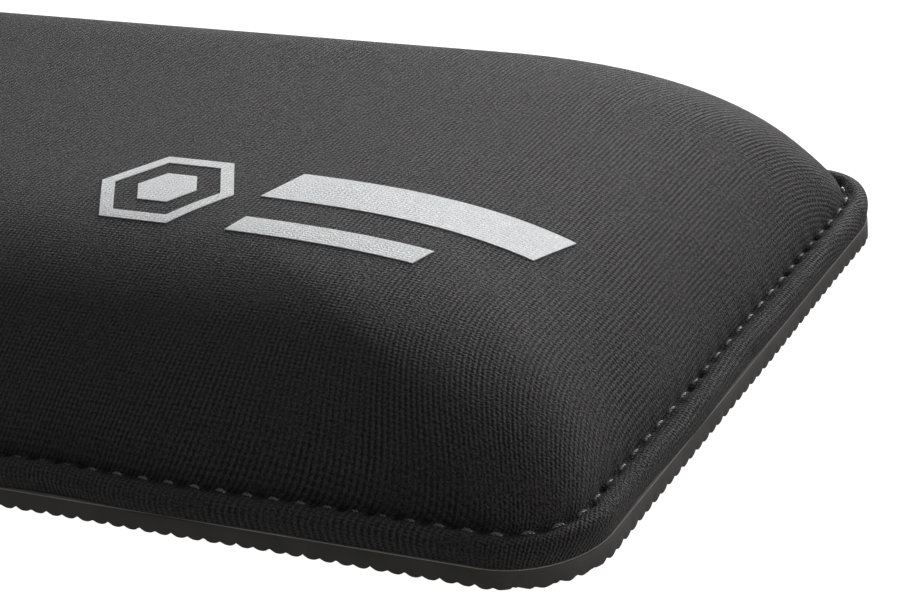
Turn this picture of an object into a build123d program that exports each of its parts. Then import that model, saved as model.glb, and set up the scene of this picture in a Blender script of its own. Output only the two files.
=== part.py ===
from build123d import *
import os
from math import ceil, cos, radians, sin

# A long stitched-edge keyboard wrist rest, in millimetres. The origin is on the surface that it
# lies on, under the middle. X runs along its length, +Y is the keyboard side and +Z is up.

# Overall size
length = 444.5
depth = 101.6
height = 25.4
corner_radius = 11.2

# Rubber base: its top face, and the tread grooves across its underside
rubber_top = 2.5
rubber_inset = 0.12
tread_depth = 0.6
tread_pitch = 4.24
tread_groove_width = 1.5

# Layers above the rubber
adhesive_thickness = 0.12
adhesive_inset = 0.15
knit_thickness = 0.6
lining_thickness = 1.5
layer_clearance = 0.05
hem_width = 8.0

# Rolled flange round the foot, and the sewing line pressed into it
flange_top = 6.0
flange_upper_roll = 1.6
flange_lower_roll = 1.1
stitch_inset = 2.7
groove_radius = 0.7
groove_floor = 5.5

# Crown: how far the shoulders run in from the two long sides and from the ends. The front one,
# which the wrists lie on, is longer and rounder than the back one.
crown_inset = 3.1
back_shoulder = 20.3
front_shoulder = 36.0
end_shoulder = 68.7
shoulder_power = 3.42
front_power = 2.4
height_power = 1.73
crown_turns = [0, 16, 32, 48, 64, 80]
crown_corner_radius = 12.4
crown_corner_growth = 3.0

# Thread
thread_radius = 0.22
stitch_pitch = 3.46
stitch_length = 2.6
thread_clearance = 0.03
bobbin_channel_width = 1.3
bobbin_channel_top = 1.05

# Transfer print on the crown, towards the right-hand front
print_thickness = 0.1
print_clearance = 0.04
emblem_centre = (153.0, -14.0)
emblem_radius = 9.5
emblem_ring_width = 1.9
emblem_core_radius = 4.2
bar_left = 166.0
bar_slant = 2.2
bars = [(-10.0, 7.0, 36.0), (-20.5, 3.4, 25.0)]

cover_bottom = rubber_top + adhesive_thickness
groove_centre = groove_floor + groove_radius


def rounded_slab(inset, low, high):
    """A slab with the rest's outline, moved in by inset, between two heights."""
    outline = RectangleRounded(length - 2 * inset, depth - 2 * inset, corner_radius - inset)
    return Pos(0, 0, low) * extrude(outline, amount=high - low)


def stitch_path(level):
    """The closed sewing line at one height."""
    outline = RectangleRounded(
        length - 2 * stitch_inset, depth - 2 * stitch_inset, corner_radius - stitch_inset
    )
    return Pos(0, 0, level) * outline.wire()


def crown(gap, foot):
    """The crown, moved in by gap on every side, standing on a straight foot down to one height."""
    start = groove_floor
    top_level = sin(radians(crown_turns[-1])) ** (2 / height_power)
    rise = (height - gap - start) / top_level
    inset = crown_inset + gap
    sections = []
    for turn in crown_turns:
        level = sin(radians(turn)) ** (2 / height_power)
        shrink = 1 - cos(radians(turn)) ** (2 / shoulder_power)
        front_shrink = 1 - cos(radians(turn)) ** (2 / front_power)
        half_length = length / 2 - inset - end_shoulder * shrink
        back = depth / 2 - inset - back_shoulder * shrink
        front = depth / 2 - inset - front_shoulder * front_shrink
        radius = crown_corner_radius - gap + crown_corner_growth * shrink
        outline = RectangleRounded(2 * half_length, front + back, radius)
        sections.append(Pos(0, (back - front) / 2, start + rise * level) * outline)
    return loft(sections) + rounded_slab(crown_inset + gap, foot, start)


def sewing_groove(radius):
    """A round bar along the sewing line, which presses the groove into the layers."""
    path = stitch_path(groove_centre)
    section = Plane(origin=path @ 0, z_dir=path % 0) * Circle(radius)
    return sweep(section, path=path)


def cover_form(gap):
    """The padded cover's outer form, moved in by gap: flange, crown and pressed-in sewing line."""
    low = cover_bottom + gap
    slab = rounded_slab(gap, low, flange_top - gap)
    rim_top = slab.faces().sort_by(Axis.Z)[-1].outer_wire().edges()
    slab = fillet(rim_top, flange_upper_roll - gap)
    rim_bottom = slab.faces().sort_by(Axis.Z)[0].outer_wire().edges()
    slab = fillet(rim_bottom, flange_lower_roll - gap)
    return slab + crown(gap, low) - sewing_groove(groove_radius + gap)


def rubber_base():
    """Rubber sheet with a diagonal tread and a channel for the underside thread."""
    base = rounded_slab(rubber_inset, 0, rubber_top)
    reach = length / 2 + depth
    groove_outline = Polygon(
        (-tread_groove_width / 2, 0), (tread_groove_width / 2, 0), (0, tread_depth), align=None
    )
    groove = extrude(Plane.XZ * groove_outline, amount=depth, both=True)
    count = ceil(reach / tread_pitch)
    grooves = [Pos(i * tread_pitch, 0, 0) * Rot(0, 0, 45) * groove for i in range(-count, count + 1)]
    inner = stitch_inset + bobbin_channel_width / 2
    outer = stitch_inset - bobbin_channel_width / 2
    channel = rounded_slab(outer, 0, bobbin_channel_top) - rounded_slab(inner, 0, bobbin_channel_top)
    return base - grooves - channel


def base_adhesive():
    """Thin bond film between the rubber and everything above it."""
    return rounded_slab(adhesive_inset, rubber_top, cover_bottom)


def knit_cover():
    """The knit skin: crown, rolled flange and the hem that is turned under the padding."""
    opening = rounded_slab(hem_width, cover_bottom, cover_bottom + 2 * knit_thickness)
    return cover_form(0) - cover_form(knit_thickness) - opening


def foam_lining():
    """Thin foam bonded to the back of the knit; it is what puffs out the flange."""
    outside = knit_thickness + layer_clearance
    return cover_form(outside) - crown(outside + lining_thickness, cover_bottom)


def foam_core():
    """The thick moulded foam that carries the wrists; its plug fits inside the turned hem."""
    gap = knit_thickness + lining_thickness + 2 * layer_clearance
    body = crown(gap, cover_bottom + knit_thickness + layer_clearance)
    plug_top = cover_bottom + knit_thickness + 2 * layer_clearance
    return body + rounded_slab(hem_width + layer_clearance, cover_bottom, plug_top)


def stitches(level):
    """Round-ended stitches, one after another along the sewing line."""
    path = stitch_path(level)
    count = round(path.length / stitch_pitch)
    shank = Cylinder(thread_radius, stitch_length - 2 * thread_radius)
    offset = stitch_length / 2 - thread_radius
    stitch = shank + Pos(0, 0, offset) * Sphere(thread_radius) + Pos(0, 0, -offset) * Sphere(thread_radius)
    places = [(i + 0.5) / count for i in range(count)]
    return Compound(children=[Plane(origin=path @ t, z_dir=path % t) * stitch for t in places])


def needle_thread():
    """Top thread, lying in the pressed sewing line."""
    return stitches(groove_floor + thread_radius + thread_clearance)


def bobbin_thread():
    """Underside thread, lying up in its channel, clear of the surface below."""
    return stitches(bobbin_channel_top - thread_radius - thread_clearance)


def print_film():
    """A skin just above the crown that the printed shapes are cut from."""
    low = height / 2
    return crown(-print_clearance - print_thickness, low) - crown(-print_clearance, low)


def printed_emblem():
    """A plain six-sided ring with a solid six-sided middle."""
    ring = RegularPolygon(emblem_radius, 6) - RegularPolygon(emblem_radius - emblem_ring_width, 6)
    outline = ring + RegularPolygon(emblem_core_radius, 6)
    return film_shape(Pos(*emblem_centre) * outline)


def printed_bars():
    """Two plain slanted bars, a thick one over a thin one."""
    outline = Sketch()
    for centre, width, run in bars:
        low = centre - width / 2
        high = centre + width / 2
        lean = bar_slant * width / bars[0][1]
        corners = [(bar_left, low), (bar_left + run, low), (bar_left + run + lean, high)]
        outline += Polygon(*corners, (bar_left + lean, high), align=None)
    return film_shape(outline)


def film_shape(outline):
    """Printed ink: an outline carried up through the film above the crown."""
    return print_film() & extrude(outline, amount=2 * height)


nodes = {
    "rubber_base": rubber_base,
    "base_adhesive": base_adhesive,
    "foam_core": foam_core,
    "foam_lining": foam_lining,
    "knit_cover": knit_cover,
    "needle_thread": needle_thread,
    "bobbin_thread": bobbin_thread,
    "printed_emblem": printed_emblem,
    "printed_bars": printed_bars,
}

os.makedirs("parts", exist_ok=True)
for name, make in nodes.items():
    export_step(make(), f"parts/{name}.step")
    print("wrote", name)
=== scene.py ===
import math

import bmesh
import bpy
import numpy as np
from mathutils import Matrix, Vector
from mathutils.bvhtree import BVHTree


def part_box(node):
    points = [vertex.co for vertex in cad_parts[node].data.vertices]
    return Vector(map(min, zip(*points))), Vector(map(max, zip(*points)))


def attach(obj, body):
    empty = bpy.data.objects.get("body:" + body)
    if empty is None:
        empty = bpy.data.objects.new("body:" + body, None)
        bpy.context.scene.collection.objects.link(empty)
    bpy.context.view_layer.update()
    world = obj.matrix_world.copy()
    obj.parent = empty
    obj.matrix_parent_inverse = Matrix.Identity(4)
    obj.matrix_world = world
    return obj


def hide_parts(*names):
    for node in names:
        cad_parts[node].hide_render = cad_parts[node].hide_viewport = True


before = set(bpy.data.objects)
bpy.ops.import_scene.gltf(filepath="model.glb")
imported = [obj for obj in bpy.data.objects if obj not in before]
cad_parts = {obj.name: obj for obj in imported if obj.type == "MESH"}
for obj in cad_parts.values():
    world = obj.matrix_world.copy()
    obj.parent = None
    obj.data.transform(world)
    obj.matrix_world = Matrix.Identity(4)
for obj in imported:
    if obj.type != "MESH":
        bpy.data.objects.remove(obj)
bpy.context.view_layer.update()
mm = 0.001

# Sizes read from the frame
cover_low, cover_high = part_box("knit_cover")
half_length = cover_high.x
half_depth = cover_high.y
crown_top = cover_high.z
cover_bottom = cover_low.z
rubber_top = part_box("rubber_base")[1].z

# Sewing
thread_radius = 0.22 * mm
stitch_inset = half_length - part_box("needle_thread")[1].x + thread_radius
stitch_pitch = 3.46 * mm
groove_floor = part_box("needle_thread")[0].z
stitch_share = 0.42
stitch_sink = 0.12 * mm
stitch_arch = 0.20 * mm
stitch_dive = 0.35 * mm
strand_radius = 0.135 * mm
strand_offset = 0.125 * mm

# Outline and crown
corner_radius = 11.2 * mm
crown_inset = 3.1 * mm
crown_corner_jump = 3.7 * mm
crown_corner_growth = 3.0 * mm
back_shoulder = 19.7 * mm
front_shoulder = 36.0 * mm
end_shoulder = 67.8 * mm
shoulder_power = 3.42
front_power = 2.4
height_power = 1.73
crown_rings = 30
plateau_rings = 9
samples_per_stitch = 8

# Needle holes, pulled into the cloth between one stitch and the next
pit_depth = 0.50 * mm
pit_length = 0.45 * mm
pit_width = 0.41 * mm

# Cloth simulation of the sewn edge
cloth_scale = 40.0
cloth_pressure = 1.2
cloth_fullness = 0.003
cloth_frames = 14
cloth_cap = 0.22 * mm

# Rolled flange: its top, the level where it bulges furthest, and its two rolls
flange_top = 6.0 * mm
flange_middle = 4.4 * mm
upper_roll = 1.45 * mm
lower_roll = 0.45 * mm
lower_edge_inset = 0.14 * mm
hem_width = 8.0 * mm

# Tread: a square lattice of rounded bumps, with every second notch along the rest a deeper one
tread_along = half_length / 103.5
tread_across = half_depth / 24.5
tread_deep = 0.50 * mm
tread_shallow = 0.36 * mm

# Knit, in mm
rib_pitch = 0.62
course_pitch = 0.46

# Transfer print
print_lift = 0.10 * mm
emblem_centre = (153.0, -14.0)
emblem_radius = 9.5
emblem_ring_width = 1.9
emblem_core_radius = 4.2
bar_left = 166.0
bar_slant = 2.2
bars = [(-10.0, 7.0, 36.0), (-20.5, 3.4, 25.0)]


def smooth(value, start, end):
    """0 before start, 1 after end, with a smooth turn between them."""
    t = np.clip((value - start) / (end - start), 0, 1)
    return t * t * (3 - 2 * t)


# ---------------------------------------------------------------- outlines


class Perimeter:
    """Points spaced evenly along the sewing line, which every ring of every piece shares."""

    def __init__(self, count):
        radius = corner_radius - stitch_inset
        straight_x = 2 * (half_length - corner_radius)
        straight_y = 2 * (half_depth - corner_radius)
        arc = radius * math.pi / 2
        runs = [straight_y, arc, straight_x, arc, straight_y, arc, straight_x, arc]
        self.total = sum(runs)
        self.count = count
        self.along = (np.arange(count) + 0.5) * self.total / count
        self.core, self.normal = self.at(self.along)

    def at(self, along):
        """The inner rectangle's place and the outward normal at a distance along the sewing line."""
        radius = corner_radius - stitch_inset
        straight_x = 2 * (half_length - corner_radius)
        straight_y = 2 * (half_depth - corner_radius)
        arc = radius * math.pi / 2
        corners = [(1, -1), (1, 1), (-1, 1), (-1, -1)]
        core = np.zeros((len(along), 2))
        normal = np.zeros((len(along), 2))
        left = np.mod(along, self.total)
        passed = 0.0
        for side in range(4):
            start = np.array(corners[side], float)
            end = np.array(corners[(side + 1) % 4], float)
            straight = straight_y if side % 2 == 0 else straight_x
            here = (left >= passed) & (left < passed + straight)
            share = ((left[here] - passed) / straight)[:, None]
            core[here] = start + (end - start) * share
            angle = side * math.pi / 2
            normal[here] = (math.cos(angle), math.sin(angle))
            passed += straight
            here = (left >= passed) & (left < passed + arc)
            angle = side * math.pi / 2 + (left[here] - passed) / radius
            core[here] = end
            normal[here] = np.stack([np.cos(angle), np.sin(angle)], axis=1)
            passed += arc
        return core, normal

    def ring(self, half_x, half_y, radius, level, middle=0.0):
        """A rounded rectangle as one closed ring of points, with its middle at a place in Y."""
        plan = self.core * (half_x - radius, half_y - radius) + self.normal * radius
        plan[:, 1] += middle
        return np.column_stack([plan, np.broadcast_to(level, len(plan))])

    def inset_ring(self, inset, level):
        """The rest's own outline, moved in by inset."""
        return self.ring(half_length - inset, half_depth - inset, corner_radius - inset, level)


def lofted(name, rings, coordinates=None, painted_groove_shade=None, weld=0.0):
    """A closed mesh skinned over rings. A ring may have a whole multiple of the next one's points.

    With weld, the last ring is folded flat on a line, where its two sides meet.
    """
    faces = []
    start = 0
    for first, second in zip(rings, rings[1:]):
        many = len(first)
        few = len(second)
        times = many // few
        lower = start + np.arange(many)
        upper = start + many + np.arange(few)
        if times == 1:
            faces += np.column_stack([lower, np.roll(lower, -1), np.roll(upper, -1), upper]).tolist()
        else:
            for i in range(few):
                under = [start + (i * times + k) % many for k in range(times + 1)]
                faces.append(under + [int(upper[(i + 1) % few]), int(upper[i])])
        start += many
    mesh = bpy.data.meshes.new(name)
    mesh.from_pydata(np.vstack(rings).tolist(), [], faces)
    form = bmesh.new()
    form.from_mesh(mesh)
    form.verts.ensure_lookup_table()
    if weld:
        bmesh.ops.remove_doubles(form, verts=form.verts[start:], dist=weld)
    bmesh.ops.holes_fill(form, edges=[e for e in form.edges if e.is_boundary], sides=0)
    bmesh.ops.recalc_face_normals(form, faces=form.faces)
    form.to_mesh(mesh)
    form.free()
    if coordinates is not None:
        layer = mesh.uv_layers.new(name="cloth")
        corner = np.zeros(len(mesh.loops), np.int32)
        mesh.loops.foreach_get("vertex_index", corner)
        layer.data.foreach_set("uv", np.vstack(coordinates)[corner].astype(np.float32).ravel())
        # Painted shade for the sewing groove and needle holes, kept for each point.
        shade = mesh.attributes.new(name="painted_groove_shade", type="FLOAT", domain="POINT")
        shade.data.foreach_set("value", painted_groove_shade.astype(np.float32))
    mesh.polygons.foreach_set("use_smooth", [True] * len(mesh.polygons))
    mesh.update()
    return placed(name, mesh)


def placed(name, mesh):
    """A new object in the scene for a mesh."""
    piece = bpy.data.objects.new(name, mesh)
    bpy.context.scene.collection.objects.link(piece)
    return piece


def wave(along, total, seed, height, shortest, longest):
    """A gentle wandering line along a closed edge."""
    random = np.random.default_rng(seed)
    value = np.zeros(len(along))
    for _ in range(9):
        turns = round(total / random.uniform(shortest, longest))
        value += math.sqrt(2) * np.sin(2 * math.pi * (turns * along / total + random.random()))
    return value * height / 3


# ---------------------------------------------------------------- knit cover


def crown_profile(turn):
    """How far in the two shoulders are, and how high, each from 0 to 1, at a turn in radians."""
    shrink = 1 - math.cos(turn) ** (2 / shoulder_power)
    front_shrink = 1 - math.cos(turn) ** (2 / front_power)
    up = math.sin(turn) ** (2 / height_power)
    return shrink, front_shrink, up


def cloth_at(place, aim, excess):
    """Cloth coordinates in mm: the plan place and what the slope takes up, drawn in at corners."""
    flat = place / mm + aim * (excess / mm)[:, None]
    x = place[:, 0] / mm
    y = place[:, 1] / mm
    end = half_length / mm
    side = half_depth / mm
    to_side = np.clip((np.abs(y) - side + 26) / 26, 0, 1)
    to_end = np.clip((np.abs(x) - end + 40) / 40, 0, 1)
    drawn_end = 15 * to_side**2.2 * smooth(np.abs(x), end - 60, end - 5)
    drawn_side = 6 * to_end**2 * smooth(np.abs(y), side - 40, side - 5)
    flat[:, 0] -= drawn_end * np.sign(x)
    flat[:, 1] -= drawn_side * np.sign(y)
    return flat


def flange_profile():
    """Inset and level of the flange's rings, from the sewing line out and round to the underside."""
    profile = []
    steps = 7
    for i in range(steps):
        share = i / steps
        inset = stitch_inset + (upper_roll - stitch_inset) * share
        profile.append((inset, groove_floor + smooth(share, 0, 1) * (flange_top - groove_floor)))
    steps = 12
    for i in range(steps + 1):
        turn = math.pi / 2 * (1 - i / steps)
        out = max(math.cos(turn), 0) ** 0.92
        level = flange_middle + (flange_top - flange_middle) * math.sin(turn) ** 0.92
        profile.append((upper_roll * (1 - out), level))
    lowest_wall = cover_bottom + 0.3 * mm
    steps = 4
    for i in range(1, steps + 1):
        share = i / steps
        inset = lower_edge_inset * smooth(share, 0, 1)
        profile.append((inset, flange_middle + (lowest_wall - flange_middle) * share))
    steps = 4
    for i in range(1, steps + 1):
        turn = math.pi / 2 * i / steps
        inset = lower_edge_inset + lower_roll * (1 - math.cos(turn))
        profile.append((inset, lowest_wall + (cover_bottom - lowest_wall) * math.sin(turn)))
    return profile + [(1.2 * mm, cover_bottom), (4.0 * mm, cover_bottom), (hem_width, cover_bottom)]


def crown_rings_of(line):
    """The crown's rings, from its foot beside the sewing line up to the flat top."""
    half_x = half_length - crown_inset
    half_y = half_depth - crown_inset
    rise = crown_top - groove_floor
    rings = []
    for share in np.linspace(0, 1, crown_rings + 1):
        shrink, front_shrink, up = crown_profile(share * math.pi / 2 * 0.9999)
        back = half_y - back_shoulder * shrink
        front = half_y - front_shoulder * front_shrink
        radius = corner_radius - crown_inset + crown_corner_growth * shrink
        radius += crown_corner_jump * (1 - math.exp(-shrink / 0.02))
        level = groove_floor + rise * up
        end = half_x - end_shoulder * shrink
        rings.append(line.ring(end, (back + front) / 2, radius, level, (back - front) / 2))
    return rings


def swell(rings, line, band, holes):
    """Cloth simulation of the sewn edge: the padding pushes the knit out between the needle holes.

    Every second ring and every second point of the band is simulated, at a larger scale, and the
    shift that comes out is shared with the points between them.
    """
    step = 2
    chosen = range(band[0], band[1] + 1, step)
    start = np.array([rings[i][::step] for i in chosen])
    rows, columns = start.shape[:2]
    index = np.arange(rows * columns).reshape(rows, columns)
    turned = np.roll(index, -1, axis=1)
    faces = np.stack([index[:-1], turned[:-1], turned[1:], index[1:]], axis=-1).reshape(-1, 4)
    mesh = bpy.data.meshes.new("edge_cloth")
    mesh.from_pydata((start.reshape(-1, 3) * cloth_scale).tolist(), [], faces.tolist())
    piece = placed("edge_cloth", mesh)
    held = piece.vertex_groups.new(name="held")
    held.add(index[0].tolist() + index[-1].tolist(), 1.0, "REPLACE")
    seam_row = index[list(chosen).index(band[2])]
    held.add(seam_row.tolist(), 0.5, "REPLACE")
    held.add(seam_row[holes[::step] > 0.5].tolist(), 1.0, "REPLACE")
    modifier = piece.modifiers.new("cloth", "CLOTH")
    modifier.collision_settings.use_collision = False
    settings = modifier.settings
    settings.quality = 5
    settings.mass = 0.3
    settings.air_damping = 8
    settings.tension_stiffness = 15
    settings.compression_stiffness = 15
    settings.shear_stiffness = 5
    settings.bending_stiffness = 3
    settings.shrink_min = -cloth_fullness
    settings.use_pressure = True
    settings.uniform_pressure_force = cloth_pressure
    settings.vertex_group_mass = "held"
    settings.effector_weights.gravity = 0
    for frame_number in range(1, cloth_frames + 1):
        bpy.context.scene.frame_set(frame_number)
    result = piece.evaluated_get(bpy.context.evaluated_depsgraph_get())
    moved = np.zeros(rows * columns * 3)
    result.data.vertices.foreach_get("co", moved)
    bpy.context.scene.frame_set(1)
    shift = moved.reshape(start.shape) / cloth_scale - start
    edge = np.minimum(np.arange(rows), np.arange(rows)[::-1]) / 2
    shift *= np.minimum(1, edge)[:, None, None]
    far = np.linalg.norm(shift, axis=2, keepdims=True)
    shift *= np.minimum(1, cloth_cap / np.maximum(far, 1e-9))
    bpy.data.objects.remove(piece)
    whole = np.zeros((rows, line.count, 3))
    whole[:, ::step] = shift
    whole[:, 1::step] = (shift + np.roll(shift, -1, axis=1)) / 2
    for row, i in enumerate(chosen):
        rings[i] += whole[row]
        if row + 1 < rows:
            rings[i + 1] += (whole[row] + whole[row + 1]) / 2


def make_cover():
    """The padded cover: crown, sewing groove, rolled flange, and the hem turned under."""
    stitch_count = round(Perimeter(8).total / stitch_pitch)
    line = Perimeter(stitch_count * samples_per_stitch)
    total = line.total
    wander = wave(line.along, total, 3, 0.14 * mm, 22 * mm, 70 * mm)
    fullness = wave(line.along, total, 5, 0.10 * mm, 12 * mm, 50 * mm)
    phase = np.mod(line.along / total * stitch_count, 1)
    from_hole = np.minimum(phase, 1 - phase) * total / stitch_count
    hole = np.exp(-((from_hole / pit_length) ** 2))
    between = 0.5 - 0.5 * np.cos(2 * math.pi * phase)

    crown = crown_rings_of(line)
    # Length that the slope takes up beyond its plan length, counted from the top down
    taken = [np.zeros(line.count)]
    for upper, lower in zip(crown[::-1], crown[::-1][1:]):
        step = upper - lower
        taken.append(taken[-1] + np.linalg.norm(step, axis=1) - np.linalg.norm(step[:, :2], axis=1))
    aim = crown[0][:, :2] - crown[-1][:, :2]
    aim /= np.linalg.norm(aim, axis=1)[:, None]
    cloth = [cloth_at(ring[:, :2], aim, excess) for ring, excess in zip(crown, taken[::-1])]
    for i, ring in enumerate(crown):
        bulge = math.exp(-((i / 2.5) ** 2)) * 0.11 * mm * (between - 0.5)
        ring[:, :2] += line.normal * (bulge + wander * math.exp(-((i / 9) ** 2)))[:, None]

    # Flat top, drawn in to a narrow strip along the middle
    plateau = crown[-1]
    spine = plateau.copy()
    middle = (plateau[:, 1].max() + plateau[:, 1].min()) / 2
    reach = plateau[:, 0].max() - (plateau[:, 1].max() - middle)
    spine[:, 0] = np.clip(plateau[:, 0], -reach, reach)
    spine[:, 1] = middle
    for i in range(1, plateau_rings + 1):
        ring = plateau + (spine - plateau) * (0.96 * i / plateau_rings)
        crown.append(ring)
        cloth.append(cloth_at(ring[:, :2], aim, np.zeros(line.count)))

    # Flange, from the sewing line outwards and under
    flange = []
    flange_cloth = []
    corner = np.array([half_length, half_depth])
    run = crown_inset - stitch_inset
    last = (stitch_inset, groove_floor)
    for inset, level in flange_profile():
        run += math.hypot(inset - last[0], level - last[1])
        last = (inset, level)
        ring = line.inset_ring(inset, level)
        outside = 1 - smooth(inset, upper_roll, stitch_inset)
        top_share = smooth(level, cover_bottom + 0.6 * mm, flange_top)
        pulled = np.exp(-((np.linalg.norm(ring[:, :2] - corner, axis=1) / (9 * mm)) ** 2))
        puff = fullness + 0.14 * mm * (between - 0.5) * (1 - outside) + 0.5 * mm * pulled * outside
        ring[:, 2] += top_share * puff
        if inset <= stitch_inset:
            spread = wander + (fullness * 0.6 + 0.45 * mm * pulled) * outside * top_share
            ring[:, :2] += line.normal * spread[:, None]
        flange.append(ring)
        flange_cloth.append(cloth[0] + line.normal * (run / mm))

    rings = flange[::-1] + crown
    seam_row = len(flange) - 1
    swell(rings, line, (seam_row - 24, seam_row + 8, seam_row), hole)
    seam = line.inset_ring(stitch_inset, groove_floor)
    # Painted shade: the knit's colour is darkened along the sewing groove and most in the needle holes,
    # where shade falls.
    painted_groove_shade = []
    for ring in rings:
        aside = np.linalg.norm(ring[:, :2] - seam[:, :2] - line.normal * wander[:, None], axis=1)
        high = (ring[:, 2] - groove_floor) / pit_width
        near = np.exp(-((aside / pit_width) ** 2))
        ring[:, 2] -= pit_depth * hole * near * (ring[:, 2] > groove_floor - 0.01 * mm)
        groove_shade_share = np.exp(-((aside / (0.8 * mm)) ** 2) - (high * 0.5) ** 2)
        painted_groove_shade.append(1 - groove_shade_share * (0.35 + 0.62 * hole))
    piece = lofted("padded_cover", rings, flange_cloth[::-1] + cloth, np.concatenate(painted_groove_shade))
    return piece, line, stitch_count


# ---------------------------------------------------------------- rubber base


def tread_at(x, y):
    """Height of the tread's underside: rounded bumps between notches that cross."""
    height = np.zeros(len(x))
    for turns in (x / tread_along, y / tread_across):
        notch = np.round(turns)
        depth = np.where(np.mod(notch, 2) == 0, tread_deep, tread_shallow)
        away = 2 * np.abs(turns - notch)
        height = np.maximum(height, depth * (1 - away) ** 2)
    return height


def underside_ring(line, inset):
    """One ring of the rubber's underside, with the channel that the underside thread lies in."""
    if inset < corner_radius:
        ring = line.inset_ring(inset, 0)
    else:
        ring = line.ring(half_length - inset, half_depth - inset, 0, 0)
    ring[:, 2] = tread_at(ring[:, 0], ring[:, 1])
    channel = 1.0 * mm * (1 - smooth(abs(inset - stitch_inset), 0.35 * mm, 0.75 * mm))
    ring[:, 2] = np.maximum(ring[:, 2], channel)
    return ring


def make_base():
    """Rubber sheet with a lattice of low bumps underneath and a plain side."""
    fine = Perimeter(4 * 1320)
    coarse = Perimeter(1320)
    wander = wave(fine.along, fine.total, 8, 0.05 * mm, 20 * mm, 60 * mm)
    top = fine.inset_ring(0.16 * mm, rubber_top)
    edge = fine.inset_ring(0.10 * mm, rubber_top - 0.06 * mm)
    wall = fine.inset_ring(0.10 * mm, rubber_top - 0.9 * mm)
    low_wall = fine.inset_ring(0.12 * mm, 0)
    low_wall[:, 2] = tread_at(low_wall[:, 0], low_wall[:, 1]) + 0.15 * mm
    rings = [top, edge, wall, low_wall]
    for inset in [0.2, 0.4, 0.8, 1.2, 1.6, 2.0, 2.35, 2.7, 3.05, 3.4, 3.8]:
        rings.append(underside_ring(fine, inset * mm))
    for ring in rings[:6]:
        ring[:, :2] += fine.normal * wander[:, None]
    for inset in np.arange(4.4 * mm, half_depth - 0.3 * mm, 0.7 * mm):
        rings.append(underside_ring(coarse, inset))
    rings.append(underside_ring(coarse, half_depth))
    return lofted("moulded_base", rings, weld=2e-5)


# ---------------------------------------------------------------- materials


class Nodes:
    """A short way to write a node tree."""

    def __init__(self, name):
        self.material = bpy.data.materials.new(name)
        self.material.use_nodes = True
        self.tree = self.material.node_tree
        self.shader = self.tree.nodes["Principled BSDF"]

    def add(self, kind, **settings):
        node = self.tree.nodes.new(kind)
        for key, value in settings.items():
            setattr(node, key, value)
        return node

    def join(self, source, target):
        self.tree.links.new(source, target)

    def math(self, operation, first, second=None):
        node = self.add("ShaderNodeMath", operation=operation)
        for socket, value in zip(node.inputs, (first, second)):
            if isinstance(value, (int, float)):
                socket.default_value = value
            elif value is not None:
                self.join(value, socket)
        return node.outputs[0]

    def set(self, **values):
        for key, value in values.items():
            self.shader.inputs[key.replace("_", " ")].default_value = value


def noise(nodes, vector, scale, detail=3.0):
    node = nodes.add("ShaderNodeTexNoise")
    node.inputs["Scale"].default_value = scale
    node.inputs["Detail"].default_value = detail
    nodes.join(vector, node.inputs["Vector"])
    return node.outputs["Fac"]


def ramp(nodes, value, low, high, dark, light):
    node = nodes.add("ShaderNodeMapRange")
    node.inputs["From Min"].default_value = low
    node.inputs["From Max"].default_value = high
    node.inputs["To Min"].default_value = dark
    node.inputs["To Max"].default_value = light
    nodes.join(value, node.inputs["Value"])
    return node.outputs["Result"]


def grey(nodes, value, tint=(1, 1, 1)):
    """A colour of one brightness with a slight tint."""
    node = nodes.add("ShaderNodeCombineColor")
    for socket, share in zip(node.inputs, tint):
        nodes.join(nodes.math("MULTIPLY", value, share), socket)
    return node.outputs[0]


def bump(nodes, height, distance, strength=1.0):
    node = nodes.add("ShaderNodeBump")
    node.inputs["Distance"].default_value = distance
    node.inputs["Strength"].default_value = strength
    nodes.join(height, node.inputs["Height"])
    nodes.join(node.outputs["Normal"], nodes.shader.inputs["Normal"])


def knit_height(nodes):
    """Height of the knit's fine grid of ribs and courses, with its grain, about 0."""
    place = nodes.add("ShaderNodeUVMap", uv_map="cloth")
    parts = nodes.add("ShaderNodeSeparateXYZ")
    nodes.join(place.outputs["UV"], parts.inputs[0])
    object_place = nodes.add("ShaderNodeTexCoord").outputs["Object"]
    wobble = nodes.math("MULTIPLY", noise(nodes, object_place, 70, 2.0), 0.45)
    across = nodes.math("ADD", nodes.math("DIVIDE", parts.outputs[0], rib_pitch), wobble)
    along = nodes.math("ADD", nodes.math("DIVIDE", parts.outputs[1], course_pitch), wobble)
    slanted = nodes.math("ADD", along, nodes.math("MULTIPLY", nodes.math("PINGPONG", across, 0.5), 0.2))
    rib = nodes.math("COSINE", nodes.math("MULTIPLY", across, 2 * math.pi))
    loop = nodes.math("COSINE", nodes.math("MULTIPLY", slanted, 2 * math.pi))
    clear = ramp(nodes, noise(nodes, object_place, 160, 2.0), 0.35, 0.65, 0.35, 1.0)
    pattern = nodes.math("ADD", nodes.math("MULTIPLY", rib, 0.95), nodes.math("MULTIPLY", loop, 0.42))
    grain = nodes.math("SUBTRACT", noise(nodes, object_place, 4200, 2.0), 0.5)
    height = nodes.math("MULTIPLY", pattern, clear)
    return nodes.math("ADD", height, nodes.math("MULTIPLY", grain, 5.6)), object_place


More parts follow.
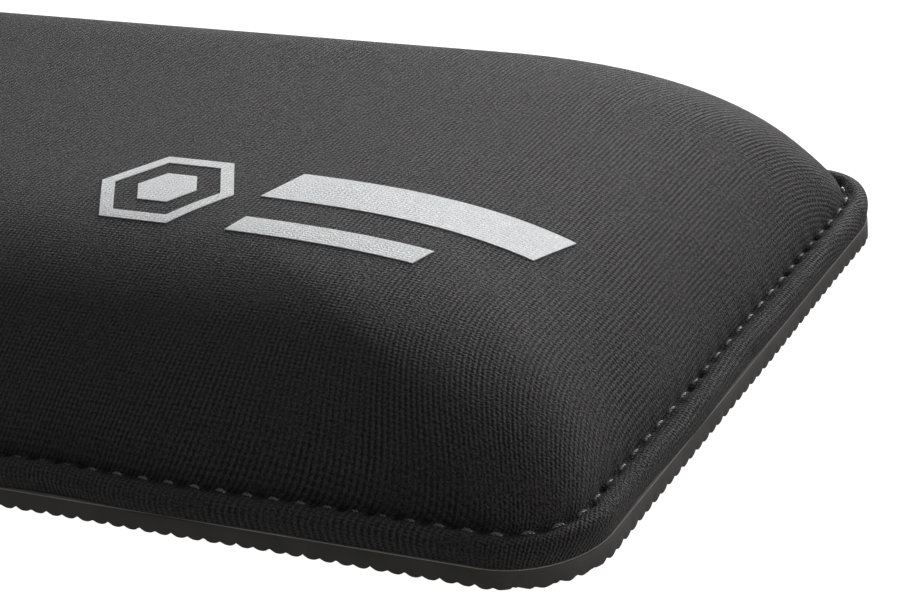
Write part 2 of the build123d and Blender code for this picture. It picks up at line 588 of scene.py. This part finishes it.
def knit_material():
    """Fine jersey knit: ribs of small slanted loops, with grain, uneven yarn and a little lint, and
    painted shade along the sewing groove and in the needle holes.
    """
    nodes = Nodes("knit")
    height, object_place = knit_height(nodes)
    brightness = ramp(nodes, height, -1.1, 1.3, 0.02, 2.1)
    patch = ramp(nodes, noise(nodes, object_place, 35, 3.0), 0.3, 0.7, 0.92, 1.08)
    brightness = nodes.math("MULTIPLY", brightness, patch)
    # Painted shade: the sewing groove and needle holes darken the knit's colour.
    painted_groove_shade = nodes.add("ShaderNodeAttribute", attribute_name="painted_groove_shade")
    brightness = nodes.math("MULTIPLY", brightness, painted_groove_shade.outputs["Fac"])
    brightness = nodes.math("MULTIPLY", brightness, 0.024)
    lint = nodes.add("ShaderNodeTexVoronoi")
    lint.inputs["Scale"].default_value = 260
    nodes.join(object_place, lint.inputs["Vector"])
    speck = nodes.math("LESS_THAN", lint.outputs["Distance"], 0.045)
    lint_tone = nodes.add("ShaderNodeSeparateColor")
    nodes.join(lint.outputs["Color"], lint_tone.inputs[0])
    speck = nodes.math("MULTIPLY", speck, nodes.math("GREATER_THAN", lint_tone.outputs[0], 0.9))
    brightness = nodes.math("ADD", brightness, nodes.math("MULTIPLY", speck, 0.05))
    nodes.join(grey(nodes, brightness, (1.09, 0.975, 1.0)), nodes.shader.inputs["Base Color"])
    nodes.join(ramp(nodes, height, -0.9, 0.9, 0.85, 0.60), nodes.shader.inputs["Roughness"])
    nodes.set(Specular_IOR_Level=0.25, Sheen_Weight=0.08, Sheen_Roughness=0.45)
    nodes.set(Sheen_Tint=(0.9, 0.88, 0.9, 1))
    bump(nodes, height, 0.10 * mm)
    return nodes.material


def rubber_material():
    nodes = Nodes("rubber")
    object_place = nodes.add("ShaderNodeTexCoord").outputs["Object"]
    mottle = noise(nodes, object_place, 300, 4.0)
    grain = noise(nodes, object_place, 4000, 2.0)
    brightness = ramp(nodes, mottle, 0.3, 0.7, 0.042, 0.064)
    nodes.join(grey(nodes, brightness, (1.04, 1.0, 0.94)), nodes.shader.inputs["Base Color"])
    nodes.join(ramp(nodes, mottle, 0.3, 0.7, 0.62, 0.78), nodes.shader.inputs["Roughness"])
    nodes.set(Specular_IOR_Level=0.4)
    bump(nodes, grain, 0.03 * mm)
    return nodes.material


def thread_material():
    nodes = Nodes("thread")
    object_place = nodes.add("ShaderNodeTexCoord").outputs["Object"]
    fibre = noise(nodes, object_place, 6000, 2.0)
    brightness = ramp(nodes, fibre, 0.3, 0.7, 0.06, 0.13)
    nodes.join(grey(nodes, brightness), nodes.shader.inputs["Base Color"])
    nodes.set(Roughness=0.3, Specular_IOR_Level=1.0, Coat_Weight=0.7, Coat_Roughness=0.2)
    bump(nodes, fibre, 0.03 * mm)
    return nodes.material


def plain_material(name, low, high, tint, roughness, scale):
    nodes = Nodes(name)
    object_place = nodes.add("ShaderNodeTexCoord").outputs["Object"]
    mottle = noise(nodes, object_place, scale, 4.0)
    brightness = ramp(nodes, mottle, 0.3, 0.7, low, high)
    nodes.join(grey(nodes, brightness, tint), nodes.shader.inputs["Base Color"])
    nodes.set(Roughness=roughness)
    bump(nodes, mottle, 0.05 * mm)
    return nodes.material


def give(piece, material):
    piece.data.materials.clear()
    piece.data.materials.append(material)


# ---------------------------------------------------------------- thread


def make_stitches(name, line, stitch_count):
    """Three twisted strands for each stitch, arched over the cloth and diving into its holes."""
    strands = 3
    sides = 6
    steps = 12
    length = line.total / stitch_count * stitch_share
    level = groove_floor - stitch_sink
    points = []
    faces = []
    t = np.linspace(0, 1, steps + 1)
    for i in range(stitch_count):
        middle = (i + 0.5) * line.total / stitch_count
        along = middle + (t - 0.5) * length
        core, normal = line.at(along)
        radius = corner_radius - stitch_inset
        plan = core * (half_length - corner_radius, half_depth - corner_radius) + normal * radius
        lift = level + stitch_arch * (1 - (2 * t - 1) ** 2) - stitch_dive * np.abs(2 * t - 1) ** 5
        skew = 0.10 * mm * (2 * t - 1)
        axis = np.column_stack([plan + normal * skew[:, None], lift])
        tangent = np.gradient(axis, axis=0)
        tangent /= np.linalg.norm(tangent, axis=1)[:, None]
        side = np.column_stack([normal, np.zeros(len(t))])
        up = np.cross(tangent, side)
        for s in range(strands):
            twist = 2 * math.pi * (s / strands + 1.1 * t)
            aside = side * np.cos(twist)[:, None] + up * np.sin(twist)[:, None]
            centre = axis + strand_offset * aside
            start = len(points)
            for k in range(steps + 1):
                for j in range(sides):
                    angle = 2 * math.pi * j / sides
                    out = side[k] * math.cos(angle) + up[k] * math.sin(angle)
                    points.append(centre[k] + strand_radius * out)
            for k in range(steps):
                for j in range(sides):
                    a = start + k * sides + j
                    b = start + k * sides + (j + 1) % sides
                    faces.append((a, b, b + sides, a + sides))
            faces.append([start + j for j in range(sides)][::-1])
            faces.append([start + steps * sides + j for j in range(sides)])
    mesh = bpy.data.meshes.new(name)
    mesh.from_pydata([tuple(p) for p in points], [], faces)
    mesh.polygons.foreach_set("use_smooth", [True] * len(mesh.polygons))
    return placed(name, mesh)


# ---------------------------------------------------------------- transfer print


def slanted_patch(rows):
    """Rows of plan points in mm, each row a level in Y with its two ends in X."""
    shares = np.linspace(0, 1, 61)
    return np.array([[(left + (right - left) * t, y) for t in shares] for y, left, right in rows])


def bar_patch(centre, width, run):
    lean = bar_slant * width / bars[0][1]
    levels = np.linspace(0, 1, 13)
    left = [bar_left + lean * t for t in levels]
    return slanted_patch([(centre + width * (t - 0.5), a, a + run) for t, a in zip(levels, left)])


def six_sided(radius, count):
    """Points round a six-sided outline, with a corner on the X axis."""
    turn = np.arange(count) * 2 * math.pi / count
    away = radius * math.cos(math.pi / 6) / np.cos(np.mod(turn, math.pi / 3) - math.pi / 6)
    return np.column_stack([away * np.cos(turn), away * np.sin(turn)])


def film(name, patches, surface):
    """Printed ink: closed skins laid on the cloth.

    A patch is rows of plan points, each row closed round or not.
    """
    points = []
    places = []
    faces = []
    for patch, closed in patches:
        rows, columns = patch.shape[:2]
        first = len(points)
        for depth in (print_lift, -0.5 * print_lift):
            for x, y in patch.reshape(-1, 2):
                hit, normal, _, _ = surface.ray_cast(Vector((x * mm, y * mm, 0.1)), Vector((0, 0, -1)))
                points.append(hit + normal * depth * (1 if normal.z > 0 else -1))
                places.append((x, y))
        spans = range(columns if closed else columns - 1)

        def at(row, column, below):
            return first + below * rows * columns + row * columns + column % columns

        def strip(start, end):
            faces.append((at(*start, 0), at(*end, 0), at(*end, 1), at(*start, 1)))

        for row in range(rows - 1):
            for c in spans:
                for below in (0, 1):
                    near = (at(row, c, below), at(row, c + 1, below))
                    faces.append(near + (at(row + 1, c + 1, below), at(row + 1, c, below)))
        for row in (0, rows - 1):
            for c in spans:
                strip((row, c), (row, c + 1))
        if not closed:
            for c in (0, columns - 1):
                for row in range(rows - 1):
                    strip((row, c), (row + 1, c))
    mesh = bpy.data.meshes.new(name)
    mesh.from_pydata([tuple(p) for p in points], [], faces)
    layer = mesh.uv_layers.new(name="cloth")
    for loop in mesh.loops:
        layer.data[loop.index].uv = places[loop.vertex_index]
    form = bmesh.new()
    form.from_mesh(mesh)
    bmesh.ops.recalc_face_normals(form, faces=form.faces)
    form.to_mesh(mesh)
    form.free()
    return placed(name, mesh)


def make_emblem(surface):
    """A six-sided ring with a solid six-sided middle."""
    centre = np.array(emblem_centre)
    count = 120
    widths = np.linspace(emblem_radius - emblem_ring_width, emblem_radius, 6)
    ring = np.array([centre + six_sided(radius, count) for radius in widths])
    half = emblem_core_radius * math.sqrt(3) / 2
    rows = []
    for y in np.linspace(-half, half, 17):
        across = emblem_core_radius - abs(y) / math.sqrt(3)
        rows.append((centre[1] + y, centre[0] - across, centre[0] + across))
    return film("emblem_print", [(ring, True), (slanted_patch(rows), False)], surface)


def make_bars(surface):
    return film("bar_print", [(bar_patch(*bar), False) for bar in bars], surface)


def ink_material():
    """Thick matt white ink, with the knit showing through it."""
    nodes = Nodes("print")
    height, object_place = knit_height(nodes)
    worn = ramp(nodes, noise(nodes, object_place, 900, 4.0), 0.3, 0.7, 0.93, 1.05)
    brightness = nodes.math("MULTIPLY", ramp(nodes, height, -3.0, 3.0, 0.78, 0.94), worn)
    nodes.join(grey(nodes, brightness, (0.985, 1.0, 1.01)), nodes.shader.inputs["Base Color"])
    nodes.join(ramp(nodes, height, -0.9, 0.9, 0.6, 0.45), nodes.shader.inputs["Roughness"])
    nodes.set(Specular_IOR_Level=0.3)
    bump(nodes, height, 0.03 * mm)
    return nodes.material


# ---------------------------------------------------------------- camera and light


def make_camera():
    azimuth = math.radians(29.85)
    elevation = math.radians(25.61)
    roll = math.radians(-6.95)
    target = Vector((half_length - 46.3 * mm, 11.5 * mm, 0.45 * mm))
    distance = 382.8 * mm
    back = Vector((
        math.sin(azimuth) * math.cos(elevation),
        -math.cos(azimuth) * math.cos(elevation),
        math.sin(elevation),
    ))
    level_right = (-back).cross(Vector((0, 0, 1))).normalized()
    level_up = level_right.cross(-back)
    right = level_right * math.cos(roll) + level_up * math.sin(roll)
    up = -level_right * math.sin(roll) + level_up * math.cos(roll)
    data = bpy.data.cameras.new("camera")
    data.sensor_width = 36
    data.lens = 118.65
    data.clip_start = 0.01
    camera = bpy.data.objects.new("camera", data)
    bpy.context.scene.collection.objects.link(camera)
    turn = Matrix((right, up, back)).transposed()
    camera.matrix_world = Matrix.Translation(target + back * distance) @ turn.to_4x4()
    bpy.context.scene.camera = camera


def make_light(name, place, aim, width, height, power):
    data = bpy.data.lights.new(name, "AREA")
    data.shape = "RECTANGLE"
    data.size = width
    data.size_y = height
    data.energy = power
    light = bpy.data.objects.new(name, data)
    bpy.context.scene.collection.objects.link(light)
    light.location = place
    light.rotation_mode = "QUATERNION"
    light.rotation_quaternion = (Vector(aim) - Vector(place)).to_track_quat("-Z", "Y")


def make_stage():
    """A lit white table, and a dim even room. The table's light isn't thrown back on the object."""
    reach = 4.0
    mesh = bpy.data.meshes.new("floor")
    corners = [(-reach, -reach, 0), (reach, -reach, 0), (reach, reach, 0), (-reach, reach, 0)]
    mesh.from_pydata(corners, [], [(0, 1, 2, 3)])
    floor = placed("floor", mesh)
    nodes = Nodes("floor")
    nodes.set(Base_Color=(0.3, 0.3, 0.3, 1), Roughness=1.0, Specular_IOR_Level=0.0)
    nodes.set(Emission_Color=(1, 1, 1, 1), Emission_Strength=1.0)
    give(floor, nodes.material)
    floor.visible_diffuse = False
    floor.visible_glossy = False
    world = bpy.data.worlds.new("studio")
    world.use_nodes = True
    world.node_tree.nodes["Background"].inputs["Color"].default_value = (1, 1, 1, 1)
    world.node_tree.nodes["Background"].inputs["Strength"].default_value = 0.25
    bpy.context.scene.world = world
    bpy.context.scene.view_settings.view_transform = "Standard"


make_camera()
make_stage()
make_light("behind", (0.05, 1.3, 0.44), (0.05, 0.0, 0.0), 1.5, 0.55, 24)
make_light("right_side", (1.2, 0.05, 0.3), (0.2, 0.0, 0.0), 0.6, 0.6, 4.0)

cover, seam_line, stitch_total = make_cover()
give(cover, knit_material())
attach(cover, "root")
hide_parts("knit_cover")

base = make_base()
give(base, rubber_material())
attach(base, "root")
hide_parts("rubber_base")

thread = thread_material()
needle = make_stitches("needle_stitches", seam_line, stitch_total)
give(needle, thread)
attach(needle, "root")
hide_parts("needle_thread")

ink = ink_material()
surface = BVHTree.FromObject(cover, bpy.context.evaluated_depsgraph_get())
prints = {"printed_emblem": make_emblem(surface), "printed_bars": make_bars(surface)}
for node, print_piece in prints.items():
    give(print_piece, ink)
    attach(print_piece, "root")
    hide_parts(node)

give(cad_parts["bobbin_thread"], thread)
adhesive = plain_material("adhesive", 0.20, 0.30, (1, 0.99, 0.95), 0.45, 200)
give(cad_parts["base_adhesive"], adhesive)
give(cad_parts["foam_core"], plain_material("core_foam", 0.08, 0.14, (1, 1, 1), 0.9, 900))
give(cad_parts["foam_lining"], plain_material("lining_foam", 0.05, 0.08, (1, 1, 1), 0.9, 1500))
